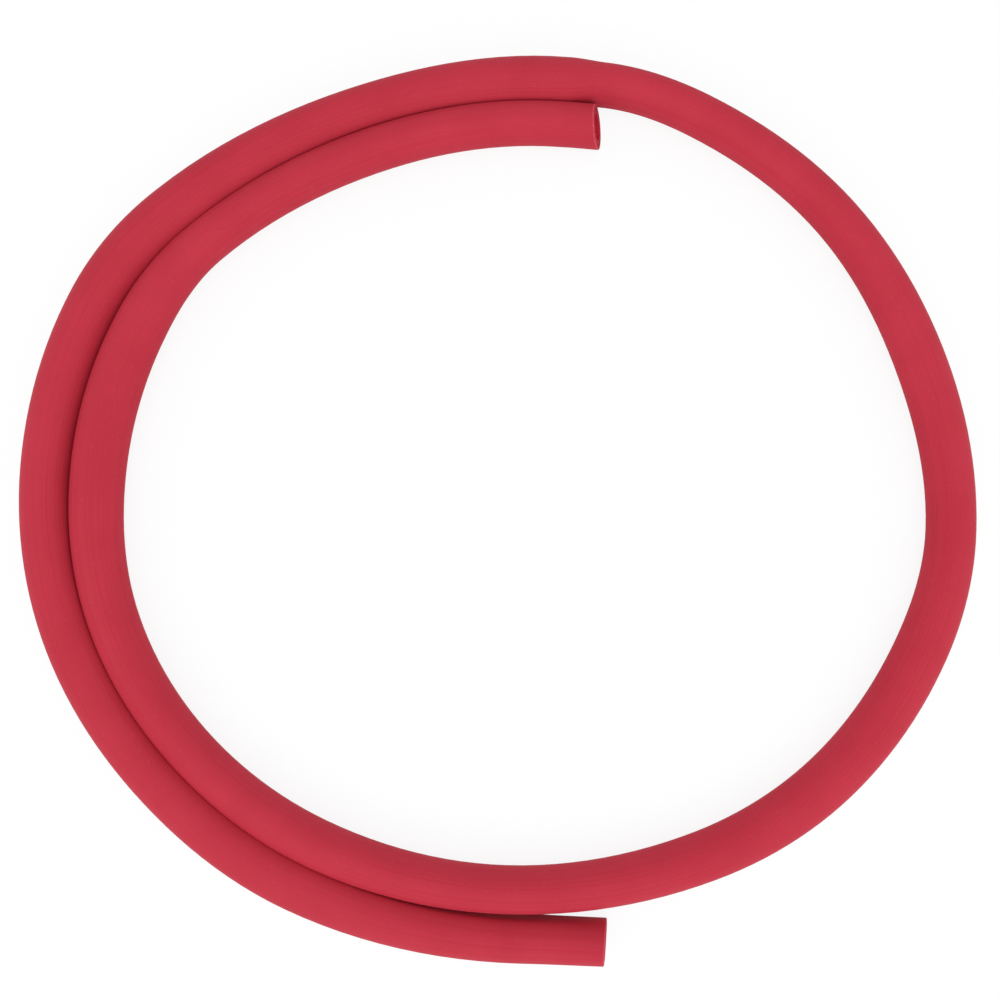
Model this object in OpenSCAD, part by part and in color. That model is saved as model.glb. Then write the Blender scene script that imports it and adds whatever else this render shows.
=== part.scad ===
// Coiled air hose: a length of reinforced rubber hose with bare cut ends,
// lying flat in a loose coil of one and a half turns.
// The hose is three bonded layers: an inner tube, a braid round it and an outer cover.
// Millimetres. +Z is up, the floor is z = 0, and the coil is centred on the origin.
// Both cut ends point along +X.

/* [Hose] */
// Outside diameter of the hose
hose_diameter = 16; // [15:0.5:20]
// Diameter of the bore
bore_diameter = 9.5; // [6:0.25:10]
// Wall of the inner tube that lines the bore
lining_wall = 1.25; // [0.5:0.25:1.25]
// Thickness of the braid round the inner tube
braid_wall = 0.75; // [0.25:0.25:0.75]
// Depth of the flat along the underside, where the soft cover rests on the floor
flat_depth = 0.5; // [0.2:0.1:0.6]

/* [Coil] */
// Bend radius of each sixteenth of the first turn, anticlockwise from the inner end
bend_radii = [
    170, 190, 90, 140, 125, 130, 140, 170,
    180, 130, 140, 105, 145, 155, 150, 85
]; // [75:5:250]
// Bends from one end of the hose to the other
bend_count = 24; // [20:4:28]
// Clear gap between turns that lie side by side
turn_gap = 0.5; // [0.45:0.05:3]
// How much wider the last bend is, so that the outer end comes clear of the turn beside it
last_bend_easing = 15; // [0:5:40]
// Straight run at the inner end
inner_straight = 13; // [12:1:24]
// Straight run at the outer end
outer_straight = 31; // [16:1:60]

/* [Cut ends] */
// How far the cut across the inner end leans back from upright, in degrees
inner_cut_lean = 19; // [0:1:25]
// How far the same cut is askew, seen from above, in degrees
inner_cut_skew = 2; // [0:1:15]
// How far the cut across the outer end leans back from upright, in degrees
outer_cut_lean = 13; // [0:1:25]

/* [Hidden] */

// Sides of a round section, and of a full circle of bend, where they are drawn as facets
section_sides = 48;
turn_sides = 192;
// Points measured along each run of the route
points_per_run = 12;

lining_diameter = bore_diameter + 2 * lining_wall;
braid_diameter = lining_diameter + 2 * braid_wall;
axis_height = hose_diameter / 2 - flat_depth;
turn_pitch = hose_diameter + turn_gap;
bends_per_turn = len(bend_radii);
bend_angle = 360 / bends_per_turn;
// The hose sets off from its inner end along -X
first_heading = 180;
// An end is made this much too long, and the cut takes the surplus off
trim_length = hose_diameter / 2;

// ---- Route of the centre line, seen from above ----

function along(heading) = [cos(heading), sin(heading)];
function left_of(heading) = [-sin(heading), cos(heading)];
function total(list, i = 0) = i == len(list) ? 0 * list[0] : list[i] + total(list, i + 1);

// Middle heading of bend i, and the step from its start to its end at a radius of 1
function middle_heading(i) = first_heading + bend_angle * (i + 0.5);
function unit_chord(i) = 2 * sin(bend_angle / 2) * along(middle_heading(i));

// A full turn of bends has to end one straight run behind its start, so that the second
// turn lies exactly beside the first. What the chosen radii miss by is spread over all of
// them, most on the bends that point the right way.
missing_step = -inner_straight * along(first_heading)
    - total([for (i = [0:bends_per_turn - 1]) bend_radii[i] * unit_chord(i)]);
function closing_radius(i) =
    missing_step * along(middle_heading(i)) / (bends_per_turn * sin(bend_angle / 2));

// The bend radius grows by one pitch in each turn, and is kept to hundredths of a millimetre
function bend_radius(i) = rounded_down(
    bend_radii[i % bends_per_turn] + closing_radius(i) + turn_pitch * i / bends_per_turn
        + (i == bend_count - 1 ? last_bend_easing : 0),
    0.01
);
function rounded_down(value, step) = floor(value / step) * step;

// The hose as a list of runs, each [length, 0] for a straight or [radius, angle] for a bend.
// The second turn has a straight too, beside the straight inner end.
runs = concat(
    [[inner_straight, 0]],
    [for (i = [0:bends_per_turn - 1]) [bend_radius(i), bend_angle]],
    [[inner_straight, 0]],
    [for (i = [bends_per_turn:bend_count - 1]) [bend_radius(i), bend_angle]],
    [[outer_straight, 0]]
);
last_run = len(runs) - 1;

// Point reached from a start after a share of a run, from 0 to 1
function reached(run, start, heading, share) = run[1] == 0
    ? start + run[0] * share * along(heading)
    : start + run[0] * (left_of(heading) - left_of(heading + run[1] * share));
function run_length(run) = run[1] == 0 ? run[0] : run[0] * run[1] * PI / 180;

// Where each run starts, as [point, heading], with the hose's outer end after the last
function starts_from(i, point, heading) = i > last_run
    ? [[point, heading]]
    : concat(
        [[point, heading]],
        starts_from(i + 1, reached(runs[i], point, heading, 1), heading + runs[i][1])
    );
free_starts = starts_from(0, [0, 0], first_heading);
function points_of_run(i, starts) =
    [for (s = [0:points_per_run - 1]) reached(runs[i], starts[i][0], starts[i][1], s / points_per_run)];

// The coil is moved so that the box round it is centred on the origin
free_points = [for (i = [0:last_run]) each points_of_run(i, free_starts)];
free_x = [for (p = free_points) p[0]];
free_y = [for (p = free_points) p[1]];
coil_middle = [max(free_x) + min(free_x), max(free_y) + min(free_y)] / 2;
starts = [for (s = free_starts) [s[0] - coil_middle, s[1]]];

// ---- Least gap of the tube to itself ----

// Distance from a point to the straight line between two others
function distance_to(point, a, b) =
    let (share = (point - a) * (b - a) / ((b - a) * (b - a)))
    norm(point - a - max(0, min(1, share)) * (b - a));
// The first turn of the centre line, and the rest of it from the next run on
first_turn = [for (i = [0:bends_per_turn]) each points_of_run(i, starts)];
second_turn = [for (i = [bends_per_turn + 1:last_run]) each points_of_run(i, starts)];
function gap_at(i) = min([
    for (j = [0:len(first_turn) - 2])
        if (i + len(first_turn) - j > len(first_turn) / 2)
            distance_to(second_turn[i], first_turn[j], first_turn[j + 1])
]) - hose_diameter;
least_gap = min([for (i = [0:len(second_turn) - 1]) gap_at(i)]);
echo(least_gap_between_turns = least_gap);
echo(hose_length = total([for (run = runs) run_length(run)]));

// ---- Solids ----

// Section of one layer: a ring, less what the floor presses flat
module layer_section(outside, inside) {
    difference() {
        circle(d = outside, $fn = section_sides);
        circle(d = inside, $fn = section_sides);
        translate([-hose_diameter, -hose_diameter - axis_height])
            square([2 * hose_diameter, hose_diameter]);
    }
}

// A straight run of the section, from the origin along +X
module straight_hose(length) {
    translate([length, 0, 0])
        rotate([90, 0, -90])
            linear_extrude(length)
                children();
}

// The same with a cut end, which leans back from upright and is askew seen from above
module cut_hose(length, lean, skew) {
    difference() {
        straight_hose(length + trim_length)
            children();
        translate([length, 0, 0])
            rotate([0, -lean, skew])
                translate([0, -hose_diameter, -hose_diameter])
                    cube(2 * hose_diameter);
    }
}

// A bend of the section to the left, round the origin
module bent_hose(radius, angle, heading) {
    rotate_extrude(angle = angle, start = (heading + 270) % 360, $fn = turn_sides)
        translate([radius, 0])
            children();
}

// Moves its children to a place seen from above. Whole millimetres go first, then
// thousandths, then the rest, so that no digit is lost and each run meets the next exactly.
module placed_at(place) {
    whole = [for (value = place) rounded_down(value, 1)];
    thousandths = [for (value = place - whole) rounded_down(value, 0.001)];
    translate(whole)
        translate(thousandths)
            translate(place - whole - thousandths)
                children();
}

// A layer of the hose: its section carried along every run, from cut to cut
module hose_layer(outside, inside) {
    translate([0, 0, axis_height]) {
        placed_at(starts[1][0])
            rotate([0, 0, first_heading + 180])
                cut_hose(inner_straight, inner_cut_lean, inner_cut_skew)
                    layer_section(outside, inside);
        for (i = [1:last_run - 1])
            if (runs[i][1] != 0)
                placed_at(starts[i][0] + runs[i][0] * left_of(starts[i][1]))
                    bent_hose(runs[i][0], runs[i][1], starts[i][1])
                        layer_section(outside, inside);
            else
                placed_at(starts[i][0])
                    rotate([0, 0, starts[i][1]])
                        straight_hose(runs[i][0])
                            layer_section(outside, inside);
        placed_at(starts[last_run][0])
            rotate([0, 0, starts[last_run][1]])
                cut_hose(outer_straight, outer_cut_lean, 0)
                    layer_section(outside, inside);
    }
}

module outer_cover() {
    color("crimson")
        hose_layer(hose_diameter, braid_diameter);
}

module reinforcement_braid() {
    color("palevioletred")
        hose_layer(braid_diameter, lining_diameter);
}

module inner_tube() {
    color("firebrick")
        hose_layer(lining_diameter, bore_diameter);
}

outer_cover();
reinforcement_braid();
inner_tube();
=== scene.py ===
"""Coiled air hose: a length of reinforced red rubber hose with bare cut ends, lying flat in a coil."""
import math
from collections import namedtuple

import bpy
from mathutils import Euler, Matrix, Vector


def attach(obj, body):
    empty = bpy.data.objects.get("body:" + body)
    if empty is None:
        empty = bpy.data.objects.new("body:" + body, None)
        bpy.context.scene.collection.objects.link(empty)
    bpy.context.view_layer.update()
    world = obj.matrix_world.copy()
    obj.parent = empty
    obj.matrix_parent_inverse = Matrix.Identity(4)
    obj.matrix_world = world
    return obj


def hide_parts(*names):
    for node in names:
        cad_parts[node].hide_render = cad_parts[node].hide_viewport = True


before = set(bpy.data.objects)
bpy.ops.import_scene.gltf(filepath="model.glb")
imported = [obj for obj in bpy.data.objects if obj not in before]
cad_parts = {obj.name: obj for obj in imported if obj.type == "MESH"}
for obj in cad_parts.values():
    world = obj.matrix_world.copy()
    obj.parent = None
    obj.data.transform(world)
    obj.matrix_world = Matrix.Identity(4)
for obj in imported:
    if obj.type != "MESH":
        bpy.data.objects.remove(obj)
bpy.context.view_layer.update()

# ---- Hose, in metres ----
HOSE_DIAMETER = 0.016
BORE_DIAMETER = 0.0095
LINING_WALL = 0.00125
BRAID_WALL = 0.00075
FLAT_DEPTH = 0.0005
LINING_DIAMETER = BORE_DIAMETER + 2 * LINING_WALL
BRAID_DIAMETER = LINING_DIAMETER + 2 * BRAID_WALL
AXIS_HEIGHT = HOSE_DIAMETER / 2 - FLAT_DEPTH

# ---- Coil: a straight, a turn of bends, a straight beside the first, half a turn, a straight ----
BEND_RADII = (
    0.170, 0.190, 0.090, 0.140, 0.125, 0.130, 0.140, 0.170,
    0.180, 0.130, 0.140, 0.105, 0.145, 0.155, 0.150, 0.085,
)
BEND_COUNT = 24
TURN_PITCH = HOSE_DIAMETER + 0.0005
BENDS_PER_TURN = len(BEND_RADII)
BEND_ANGLE = math.tau / BENDS_PER_TURN
FIRST_HEADING = math.pi
INNER_STRAIGHT = 0.013
OUTER_STRAIGHT = 0.031
# The last bend is this much wider, so that the outer end comes clear of the turn beside it
LAST_BEND_EASING = 0.015
RADIUS_STEP = 0.00001
STEPS_PER_RUN = 12


def along(heading):
    return Vector((math.cos(heading), math.sin(heading), 0))


def left_of(heading):
    return Vector((-math.sin(heading), math.cos(heading), 0))


def bend_radius_list():
    """The radius of every bend. What the first turn misses its start by is spread over its bends."""
    headings = [FIRST_HEADING + BEND_ANGLE * (i + 0.5) for i in range(BENDS_PER_TURN)]
    chord = 2 * math.sin(BEND_ANGLE / 2)
    missing = -INNER_STRAIGHT * along(FIRST_HEADING)
    for radius, heading in zip(BEND_RADII, headings):
        missing -= radius * chord * along(heading)
    radii = []
    for i in range(BEND_COUNT):
        chosen = BEND_RADII[i % BENDS_PER_TURN] + TURN_PITCH * i / BENDS_PER_TURN
        chosen += missing.dot(along(headings[i % BENDS_PER_TURN])) / (BENDS_PER_TURN * chord / 2)
        if i == BEND_COUNT - 1:
            chosen += LAST_BEND_EASING
        radii.append(math.floor(chosen / RADIUS_STEP) * RADIUS_STEP)
    return radii


def run_list():
    """Every run as (length, 0) for a straight or (radius, angle) for a bend."""
    bends = [(radius, BEND_ANGLE) for radius in bend_radius_list()]
    first_turn, rest = bends[:BENDS_PER_TURN], bends[BENDS_PER_TURN:]
    return [(INNER_STRAIGHT, 0), *first_turn, (INNER_STRAIGHT, 0), *rest, (OUTER_STRAIGHT, 0)]


def reached(point, heading, run, share):
    """The point and heading reached from a run's start after a share of it."""
    size, angle = run
    if angle:
        turned = heading + angle * share
        return point + size * (left_of(heading) - left_of(turned)), turned
    return point + size * share * along(heading), heading


def hose_route():
    """The centre line as (point, heading) pairs, centred on the origin, from inner to outer end."""
    route = []
    point, heading = Vector((0, 0, 0)), FIRST_HEADING
    for run in run_list():
        route += [reached(point, heading, run, step / STEPS_PER_RUN) for step in range(STEPS_PER_RUN)]
        point, heading = reached(point, heading, run, 1)
    points = [p for p, _ in route]
    middle = Vector((
        (max(p.x for p in points) + min(p.x for p in points)) / 2,
        (max(p.y for p in points) + min(p.y for p in points)) / 2,
        -AXIS_HEIGHT,
    ))
    route.append((point, heading))
    return [(p - middle, h) for p, h in route]


ROUTE = hose_route()

# ---- Camera ----
CAMERA_FOOT_FROM_INNER_END = Vector((-0.03934, -0.15265, 0))
CAMERA_HEIGHT_OVER_AXIS = 0.2722
CAMERA_TILT = Euler((math.radians(2.35), math.radians(-2.55), math.radians(3.465)))
CAMERA_LENS = 27.0
SENSOR_WIDTH = 36.0
NEAREST_SEEN = 0.01


def add_camera():
    camera_data = bpy.data.cameras.new("camera")
    camera_data.lens = CAMERA_LENS
    camera_data.sensor_width = SENSOR_WIDTH
    camera_data.clip_start = NEAREST_SEEN
    camera = bpy.data.objects.new("camera", camera_data)
    inner_end, _ = ROUTE[0]
    camera.location = inner_end + CAMERA_FOOT_FROM_INNER_END + Vector((0, 0, CAMERA_HEIGHT_OVER_AXIS))
    camera.rotation_euler = CAMERA_TILT
    bpy.context.scene.collection.objects.link(camera)
    bpy.context.scene.camera = camera


# ---- Sides of the hose, which is soft and pressed a little out of round ----
# How far a side stands out past the round section, in millimetres, at the start of each run:
# the side towards the middle of the coil, on the first turn, and the outer side, on all of it
INNER_SIDE = (-1, -1, 0, -0.5, 1.5, 1.5, -0.5, -1, -1, -1, 0.5, 1, 1.5, 0, 1.5, -0.5, 0, -1)
OUTER_SIDE = (
    0, -1, -2, -1.5, 0, 0.5, 0, -0.5, 0, 0, 0.5, 1, 0.5, 0.5, 0, 0, -1.5,
    -0.5, 0.5, -1.5, 0.5, 1.5, 1, 0.5, -0.5, 0.5, -0.5, -0.5,
)
RUNS_PER_TURN = BENDS_PER_TURN + 1
# The second turn lies this far from the first, from one run past its start to the last bend,
# which swings clear of it
CLEAR_RUN = BEND_COUNT + 2
TURNS_APART = (0.5, 0.4, 0.1, 0.2, 0.5, 0.3, 0, 0)
GAP_BETWEEN_ROUNDS = 0.5
FREE_INNER_SIDE = (-0.5, -0.5)
# Two turns press each other flat where they touch. This much is cut off each round side, in
# millimetres, at the start of each run: of the first turn's outer side and the second's inner side
PRESSED_FLAT = (0, 1, 1, 1, 0, 0, 1, 1, 1, 0.5, 0)
# The same below the middle of the hose, where its weight makes the turns touch all the way
PRESSED_FLAT_BELOW = (0, 1, 1, 1, 1, 1, 1, 1, 1, 0.5, 0)
# Below the middle, the sine of the angle round the section is under this
BELOW_MIDDLE = -0.01
MILLIMETRE = 0.001


def smoothed(values, place):
    """The value at a place between the whole ones, on a smooth curve through all of them."""
    i = min(int(place), len(values) - 2)
    t = place - i
    before, start, end, after = (values[min(max(j, 0), len(values) - 1)] for j in range(i - 1, i + 3))
    start_slope = (end - before) / 2
    end_slope = (after - start) / 2
    rise = end - start
    curve = 3 * rise - 2 * start_slope - end_slope
    twist = start_slope + end_slope - 2 * rise
    return start + t * (start_slope + t * (curve + t * twist))


def side_list():
    """How far the inner and the outer side stand out at every point of the route, in metres."""
    first_turn = OUTER_SIDE[1:CLEAR_RUN - RUNS_PER_TURN]
    beside_it = [GAP_BETWEEN_ROUNDS - apart - side for apart, side in zip(TURNS_APART, first_turn)]
    inner_side = [*INNER_SIDE, *beside_it, *FREE_INNER_SIDE]
    places = [i / STEPS_PER_RUN for i in range(len(ROUTE))]
    return [
        (smoothed(inner_side, place) * MILLIMETRE, smoothed(OUTER_SIDE, place) * MILLIMETRE)
        for place in places
    ]


SIDES = side_list()


def pressed_flat(index, depths):
    """How much is cut off the inner and the outer side, where a turn touches the one beside it."""
    place = index / STEPS_PER_RUN
    beside = place % RUNS_PER_TURN
    if beside > len(depths) - 1:
        return (0, 0)
    depth = MILLIMETRE * max(0, smoothed(depths, beside))
    return (0, depth) if place < RUNS_PER_TURN else (depth, 0)


def closed_below(index):
    """How much further in the second turn comes below its middle, to touch the first."""
    beside = index / STEPS_PER_RUN - RUNS_PER_TURN
    if beside < 0:
        return 0
    return MILLIMETRE * max(0, smoothed((0, *TURNS_APART), min(beside, len(TURNS_APART))))


# ---- Layers of the hose ----
SECTION_SIDES = 72
BRAID_SIDES = 144
EDGE_STEPS = 4
COVER_EDGE = 0.00045
BORE_EDGE = 0.0002
LAYER_EDGE = 0.00003
# Rings of yarn ends in the cut across the braid
YARN_ROWS = 4
YARNS_IN_A_ROW = 24
YARN_RELIEF = 0.00006
# A cut leans back from upright, and is askew seen from above
INNER_CUT = Euler((0, math.radians(-19), math.radians(2)))
OUTER_CUT = Euler((0, math.radians(-13), 0))
LAST = len(ROUTE) - 1
# Places of a layer's materials, and the name of its UV map
SKIN, CUT, RIM = range(3)
MAP_ALONG_HOSE = "along_hose"


def slide_at_cut(index, left, up):
    """How far a point of a straight end slides along the route, to bring the end into its cut."""
    if index <= STEPS_PER_RUN:
        cut, outward, share = INNER_CUT, -1, 1 - index / STEPS_PER_RUN
    elif index >= LAST - STEPS_PER_RUN:
        cut, outward, share = OUTER_CUT, 1, 1 - (LAST - index) / STEPS_PER_RUN
    else:
        return 0
    normal = Vector((1, 0, 0))
    normal.rotate(cut)
    setback = (normal.y * outward * left + normal.z * up) / normal.x
    return -outward * share * setback


def section_points(index, radius, sides):
    """A section of the hose as (angle, left, up), pressed out of round as it is at this point."""
    inner_side, outer_side = SIDES[index]
    half_width = radius + (inner_side + outer_side) / 2
    shift = (inner_side - outer_side) / 2
    on_skin = radius == HOSE_DIAMETER / 2
    flats_above = pressed_flat(index, PRESSED_FLAT) if on_skin else (0, 0)
    flats_below = pressed_flat(index, PRESSED_FLAT_BELOW) if on_skin else (0, 0)
    closing = closed_below(index) if on_skin else 0
    points = []
    for side in range(sides):
        angle = math.tau * side / sides - math.pi / 2
        below = math.sin(angle) < BELOW_MIDDLE
        inner_flat, outer_flat = flats_below if below else flats_above
        flat = inner_flat if math.cos(angle) > 0 else outer_flat
        inner_limit = half_width + (closing if below else 0)
        left = shift + max(-half_width, min(inner_limit, (half_width + flat) * math.cos(angle)))
        points.append((angle, left, max(radius * math.sin(angle), -AXIS_HEIGHT)))
    return points


def ring_points(index, radius, sides, set_in=0.0, relief=None):
    """A ring round the route. set_in moves it back from the cut there, and relief moves it out again."""
    point, heading = ROUTE[index]
    inward = 1 if index == 0 else -1
    points = []
    for angle, left, up in section_points(index, radius, sides):
        slide = slide_at_cut(index, left, up) + inward * set_in
        if relief:
            slide -= inward * relief(angle)
        points.append(point + left * left_of(heading) + Vector((0, 0, up)) + slide * along(heading))
    return points


def yarn_row(row):
    """Cut ends of yarn that stand out of the cut, half a yarn round from those in the next row."""
    def relief(angle):
        return YARN_RELIEF * (1 + math.cos(YARNS_IN_A_ROW * angle + math.pi * row))
    return relief


def rings_over_cut(index, outside, inside, sides, outer_edge, inner_edge, yarn_rows):
    """Rings from the outer wall over the rounded edges of the cut to the inner wall."""
    turns = [math.pi / 2 * step / EDGE_STEPS for step in range(EDGE_STEPS + 1)]
    rings = []
    for turn in turns:
        radius = outside - outer_edge * (1 - math.cos(turn))
        rings.append(ring_points(index, radius, sides, outer_edge * (1 - math.sin(turn))))
    for row in range(yarn_rows):
        radius = inside + (outside - inside) * (1 - (row + 0.5) / yarn_rows)
        rings.append(ring_points(index, radius, sides, 0, yarn_row(row)))
    for turn in reversed(turns):
        radius = inside + inner_edge * (1 - math.cos(turn))
        rings.append(ring_points(index, radius, sides, inner_edge * (1 - math.sin(turn))))
    return rings


def layer_rings(outside, inside, sides, outer_edge, inner_edge, yarn_rows):
    """All rings of a layer: along its outer wall, over one cut, back along the inner wall and over
    the other cut. With them comes the material of each row of faces that starts at a ring."""
    edges = (sides, outer_edge, inner_edge, yarn_rows)
    rings = [ring_points(i, outside, sides) for i in range(1, LAST)]
    rings += rings_over_cut(LAST, outside, inside, *edges)
    rings += [ring_points(i, inside, sides) for i in range(LAST - 1, 0, -1)]
    rings += reversed(rings_over_cut(0, outside, inside, *edges))
    # The cover's rounded rim takes the painted highlight
    rim = RIM if outer_edge == COVER_EDGE else SKIN
    over_cut = [rim] * EDGE_STEPS + [CUT] * (yarn_rows + 1) + [SKIN] * EDGE_STEPS
    rows = [SKIN] * (LAST - 1) + over_cut + [SKIN] * LAST + over_cut[::-1] + [SKIN]
    return rings, rows


def closed_wall(name, rings, rows, side_width):
    """A wall through all rings and back to the first. Its UV map is in metres, round the hose and
    along it."""
    distances = [0.0]
    for here, there in zip(rings, rings[1:] + rings[:1]):
        distances.append(distances[-1] + (there[0] - here[0]).length)
    sides = len(rings[0])
    faces, corners, materials = [], [], []
    for row, material in enumerate(rows):
        here = row * sides
        there = (row + 1) % len(rings) * sides
        v, far_v = distances[row], distances[row + 1]
        for side in range(sides):
            beside = (side + 1) % sides
            faces.append((here + beside, there + beside, there + side, here + side))
            u, far_u = side * side_width, (side + 1) * side_width
            corners += [(far_u, v), (far_u, far_v), (u, far_v), (u, v)]
            materials.append(material)
    mesh = bpy.data.meshes.new(name)
    mesh.from_pydata([point for ring in rings for point in ring], [], faces)
    uv_map = mesh.uv_layers.new(name=MAP_ALONG_HOSE)
    uv_map.data.foreach_set("uv", [value for corner in corners for value in corner])
    mesh.polygons.foreach_set("material_index", materials)
    mesh.polygons.foreach_set("use_smooth", [True] * len(faces))
    mesh.update()
    return mesh


def tube_layer(name, outside, inside, sides, outer_edge, inner_edge, yarn_rows=0):
    """One layer of the hose, between an outer and an inner radius."""
    rings, rows = layer_rings(outside, inside, sides, outer_edge, inner_edge, yarn_rows)
    mesh = closed_wall(name, rings, rows, 2 * math.pi * outside / sides)
    layer = bpy.data.objects.new(name, mesh)
    bpy.context.scene.collection.objects.link(layer)
    return layer


# ---- Materials ----
# The red of each finish, plain, in its darker places and in its lighter ones
Reds = namedtuple("Reds", ("darker", "plain", "lighter"))
COVER_REDS = Reds((0.453, 0.027, 0.048), (0.468, 0.028, 0.050), (0.483, 0.031, 0.054))
# Painted shade: the cut faces are a deeper red than the skin, for the shade they lie in
PAINTED_SHADE_CUT_REDS = Reds((0.34, 0.010, 0.026), (0.37, 0.012, 0.030), (0.40, 0.015, 0.035))
# Painted highlight: the rounded rim of the cover's cut is a paler red, for the light it catches
PAINTED_HIGHLIGHT_RIM_REDS = Reds((0.52, 0.045, 0.072), (0.56, 0.06, 0.09), (0.60, 0.075, 0.105))
BRAID_REDS = Reds((0.34, 0.010, 0.026), (0.42, 0.03, 0.05), (0.47, 0.035, 0.055))
CUT_YARN_REDS = Reds((0.33, 0.010, 0.026), (0.38, 0.018, 0.036), (0.43, 0.026, 0.046))
BORE_REDS = Reds((0.46, 0.008, 0.027), (0.48, 0.010, 0.030), (0.50, 0.012, 0.033))
# Marks on the cover, and how much of their colour shows where they are strongest
STREAK_RED = (0.425, 0.020, 0.040)
STREAK_SHARE = 0.5
BLOOM_PINK = (0.50, 0.060, 0.085)
BLOOM_SHARE = 0.25
SATIN_ROUGHNESS = (0.56, 0.68)
# Nearly all of a noise lies in this range, and most of it in the narrower one
NOISE_RANGE = (0.3, 0.7)
NOISE_MIDDLE = (0.35, 0.65)


def new_material(name, base_color, roughness, specular=0.1):
    """A material of one plain colour, with its shader."""
    material = bpy.data.materials.new(name)
    material.use_nodes = True
    shader = material.node_tree.nodes["Principled BSDF"]
    shader.inputs["Base Color"].default_value = (*base_color, 1)
    shader.inputs["Roughness"].default_value = roughness
    shader.inputs["Specular IOR Level"].default_value = specular
    return material, shader


def add_node(material, kind, **settings):
    node = material.node_tree.nodes.new(kind)
    for name, value in settings.items():
        setattr(node, name, value)
    return node


def join(material, output, socket):
    material.node_tree.links.new(output, socket)


def noise(material, source, scale, detail, stretch=(1, 1, 1)):
    """Noise of a number of cells per metre along each axis of its source."""
    mapping = add_node(material, "ShaderNodeMapping")
    mapping.inputs["Scale"].default_value = stretch
    texture = add_node(material, "ShaderNodeTexNoise")
    texture.inputs["Scale"].default_value = scale
    texture.inputs["Detail"].default_value = detail
    join(material, source, mapping.inputs["Vector"])
    join(material, mapping.outputs["Vector"], texture.inputs["Vector"])
    return texture.outputs["Fac"]


def grains(material, per_metre, detail=2.0, stretch=(1, 1, 1)):
    """Noise that lies still in the object."""
    place = add_node(material, "ShaderNodeTexCoord").outputs["Object"]
    return noise(material, place, per_metre, detail, stretch)


def lines_along(material, round_hose, along_hose, detail=2.0):
    """Noise drawn out along the hose, with these numbers of cells per metre each way."""
    place = add_node(material, "ShaderNodeUVMap", uv_map=MAP_ALONG_HOSE).outputs["UV"]
    return noise(material, place, 1, detail, (round_hose, along_hose, 1))


def ramp(material, value, *stops):
    """A colour ramp with two stops as (place, colour)."""
    node = add_node(material, "ShaderNodeValToRGB")
    for element, (place, color) in zip(node.color_ramp.elements, stops):
        element.position = place
        element.color = (*color, 1)
    join(material, value, node.inputs["Fac"])
    return node.outputs["Color"]


def toned(material, value, reds, ends=NOISE_MIDDLE):
    """A finish that goes from its darker to its lighter red with a noise."""
    start, end = ends
    return ramp(material, value, (start, reds.darker), (end, reds.lighter))


def spread(material, value, low, high):
    """A noise, taken from its range to another."""
    node = add_node(material, "ShaderNodeMapRange")
    node.inputs["From Min"].default_value, node.inputs["From Max"].default_value = NOISE_RANGE
    node.inputs["To Min"].default_value = low
    node.inputs["To Max"].default_value = high
    join(material, value, node.inputs["Value"])
    return node.outputs["Result"]


def bump(material, height, depth, below=None):
    """A bump of a depth in metres, on top of another one."""
    node = add_node(material, "ShaderNodeBump")
    node.inputs["Distance"].default_value = depth
    join(material, height, node.inputs["Height"])
    if below:
        join(material, below, node.inputs["Normal"])
    return node.outputs["Normal"]


def marks(material, ground, value, ends, color, most):
    """Marks of one plain colour over a ground that varies, from none up to a share of it."""
    start, end = ends
    share = ramp(material, value, (start, (0, 0, 0)), (end, (most,) * 3))
    node = add_node(material, "ShaderNodeMix", data_type="RGBA")
    join(material, share, node.inputs[0])
    join(material, ground, node.inputs[6])
    node.inputs[7].default_value = (*color, 1)
    return node.outputs[2]


def cover_rubber():
    """Extruded red rubber: satin, with faint lines along the hose, a fine grain and a little bloom."""
    material, shader = new_material("cover_skin", COVER_REDS.plain, roughness=0.62)
    blotches = toned(material, grains(material, 45, detail=4), COVER_REDS)
    lines = lines_along(material, 1900, 5, detail=3)
    streaked = marks(material, blotches, lines, (0.50, 0.72), STREAK_RED, STREAK_SHARE)
    dust = grains(material, 650, detail=3)
    bloomed = marks(material, streaked, dust, (0.63, 0.74), BLOOM_PINK, BLOOM_SHARE)
    join(material, bloomed, shader.inputs["Base Color"])
    join(material, spread(material, lines, *SATIN_ROUGHNESS), shader.inputs["Roughness"])
    ridges = bump(material, lines, depth=0.00003)
    grain = grains(material, 2600)
    join(material, bump(material, grain, depth=0.00002, below=ridges), shader.inputs["Normal"])
    return material


def painted_shade_cut_rubber():
    """The same rubber where the knife went through it: a deeper red that is painted shade, duller, and with
    the knife's fine marks.
    """
    material, shader = new_material("painted_shade_cut_rubber", PAINTED_SHADE_CUT_REDS.plain, roughness=0.66)
    blotches = grains(material, 900, detail=3)
    join(material, toned(material, blotches, PAINTED_SHADE_CUT_REDS), shader.inputs["Base Color"])
    knife_marks = grains(material, 1, stretch=(300, 300, 3200))
    join(material, bump(material, knife_marks, depth=0.00004), shader.inputs["Normal"])
    return material


def painted_highlight_rim():
    """The rounded edge between the skin and the cut, with a painted highlight: a little paler."""
    material, shader = new_material("painted_highlight_rim", PAINTED_HIGHLIGHT_RIM_REDS.plain, roughness=0.6)
    rim_tone_noise = grains(material, 1400, detail=3)
    join(material, toned(material, rim_tone_noise, PAINTED_HIGHLIGHT_RIM_REDS), shader.inputs["Base Color"])
    return material


def braid_yarn():
    """Yarn of the braid, soaked with red rubber, in strands that run along the sleeve."""
    material, shader = new_material("braid_strands", BRAID_REDS.plain, roughness=0.8)
    strands = lines_along(material, 2400, 160)
    join(material, toned(material, strands, BRAID_REDS, NOISE_RANGE), shader.inputs["Base Color"])
    join(material, bump(material, strands, depth=0.00008), shader.inputs["Normal"])
    return material


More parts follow.
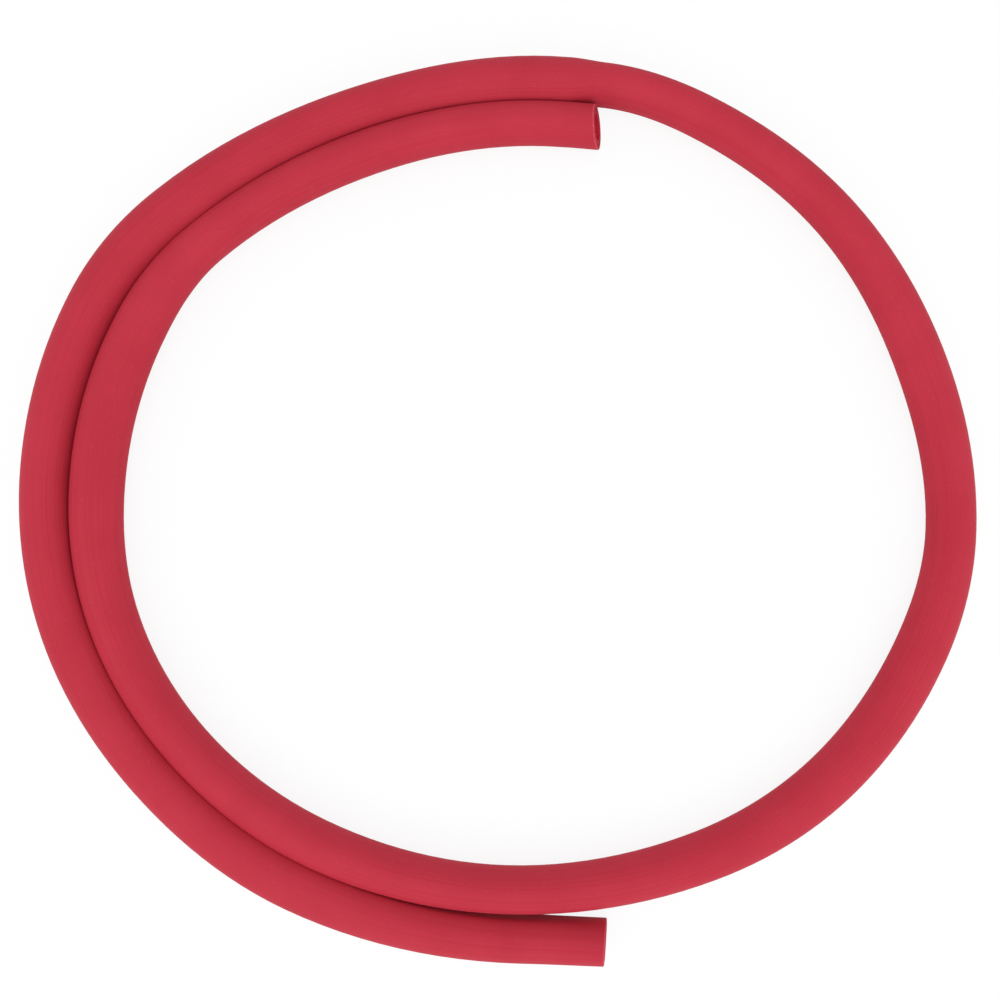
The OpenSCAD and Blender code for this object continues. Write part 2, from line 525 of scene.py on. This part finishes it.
def cut_yarn():
    """The cut ends of the yarn: fine fibres, a little paler than the rubber round them."""
    material, shader = new_material("cut_yarn", CUT_YARN_REDS.plain, roughness=0.85)
    fibres = grains(material, 5200)
    join(material, toned(material, fibres, CUT_YARN_REDS), shader.inputs["Base Color"])
    join(material, bump(material, fibres, depth=0.00005), shader.inputs["Normal"])
    return material


def lining_rubber():
    """Smooth red rubber of the bore, with faint lines along it."""
    material, shader = new_material("bore_skin", BORE_REDS.plain, roughness=0.6, specular=0.08)
    lines = lines_along(material, 1500, 6)
    join(material, toned(material, lines, BORE_REDS, NOISE_RANGE), shader.inputs["Base Color"])
    join(material, bump(material, lines, depth=0.00002), shader.inputs["Normal"])
    return material


# ---- Hose ----

def dress(layer, node, slot, *materials):
    """The layer stands for a CAD node, which is hidden, and takes the materials given; the slot is not used.
    """
    for material in materials:
        layer.data.materials.append(material)
    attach(layer, "root")
    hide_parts(node)


def add_hose():
    # The cut faces of the cover and the lining take the painted shade
    cut = painted_shade_cut_rubber()
    cover = tube_layer("cover", HOSE_DIAMETER / 2, BRAID_DIAMETER / 2, SECTION_SIDES, COVER_EDGE, LAYER_EDGE)
    braid = tube_layer("braid", BRAID_DIAMETER / 2, LINING_DIAMETER / 2, BRAID_SIDES,
                       LAYER_EDGE, LAYER_EDGE, YARN_ROWS)
    lining = tube_layer("lining", LINING_DIAMETER / 2, BORE_DIAMETER / 2, SECTION_SIDES,
                        LAYER_EDGE, BORE_EDGE)
    dress(cover, "outer_cover", "cover_rubber", cover_rubber(), cut, painted_highlight_rim())
    dress(braid, "reinforcement_braid", "braid_yarn", braid_yarn(), cut_yarn())
    dress(lining, "inner_tube", "lining_rubber", lining_rubber(), cut)


# ---- Floor and light ----
FLOOR_SIZE = 8.0
FLOOR_WHITE = 0.93
# How much of the floor's own shading the camera sees, over plain white
SHADOW_SHARE = 0.12
WORLD_LEVEL = 0.70
# Name, place, width and height in metres, and watts
SOFTBOXES = (
    ("front_softbox", (0, -1.1, 0.95), (1.4, 0.6), 5.2),
    ("left_softbox", (-0.7, -0.1, 0.3), (0.8, 0.5), 0.8),
    ("right_softbox", (0.7, -0.1, 0.3), (0.8, 0.5), 0.9),
    ("top_softbox", (0, -0.1, 0.8), (1.2, 1.2), 2.4),
)


def camera_sees(material):
    """1 for what the camera sees straight, in gloss or through glass."""
    path = add_node(material, "ShaderNodeLightPath")
    seen = path.outputs["Is Camera Ray"]
    for other in ("Is Glossy Ray", "Is Transmission Ray"):
        either = add_node(material, "ShaderNodeMath", operation="MAXIMUM")
        join(material, seen, either.inputs[0])
        join(material, path.outputs[other], either.inputs[1])
        seen = either.outputs["Value"]
    return seen


def add_floor():
    bpy.ops.object.select_all(action="DESELECT")
    bpy.ops.mesh.primitive_plane_add(size=FLOOR_SIZE)
    floor = bpy.context.object
    floor.name = "floor"
    white = (FLOOR_WHITE,) * 3
    material, shader = new_material("pale_floor", white, roughness=0.9)
    glow = add_node(material, "ShaderNodeEmission")
    share = add_node(material, "ShaderNodeMath", operation="MULTIPLY")
    share.inputs[1].default_value = 1 - SHADOW_SHARE
    join(material, camera_sees(material), share.inputs[0])
    blend = add_node(material, "ShaderNodeMixShader")
    join(material, share.outputs["Value"], blend.inputs["Fac"])
    join(material, shader.outputs["BSDF"], blend.inputs[1])
    join(material, glow.outputs["Emission"], blend.inputs[2])
    join(material, blend.outputs["Shader"], material.node_tree.nodes["Material Output"].inputs["Surface"])
    floor.data.materials.append(material)


def add_world():
    world = bpy.data.worlds.new("studio")
    world.use_nodes = True
    bpy.context.scene.world = world
    nodes = world.node_tree.nodes
    background = nodes["Background"]
    background.inputs["Color"].default_value = (1, 1, 1, 1)
    share = add_node(world, "ShaderNodeMapRange")
    share.inputs["To Min"].default_value = WORLD_LEVEL
    share.inputs["To Max"].default_value = 1.0
    join(world, camera_sees(world), share.inputs["Value"])
    join(world, share.outputs["Result"], background.inputs["Strength"])


def add_softbox(name, place, size, power):
    """An area light that faces the coil."""
    lamp = bpy.data.lights.new(name, "AREA")
    lamp.shape = "RECTANGLE"
    lamp.size, lamp.size_y = size
    lamp.energy = power
    softbox = bpy.data.objects.new(name, lamp)
    softbox.location = place
    softbox.rotation_euler = (-Vector(place)).to_track_quat("-Z", "Y").to_euler()
    softbox.visible_camera = False
    bpy.context.scene.collection.objects.link(softbox)


add_camera()
add_hose()
add_floor()
add_world()
for softbox in SOFTBOXES:
    add_softbox(*softbox)

bpy.context.scene.view_settings.view_transform = "Standard"
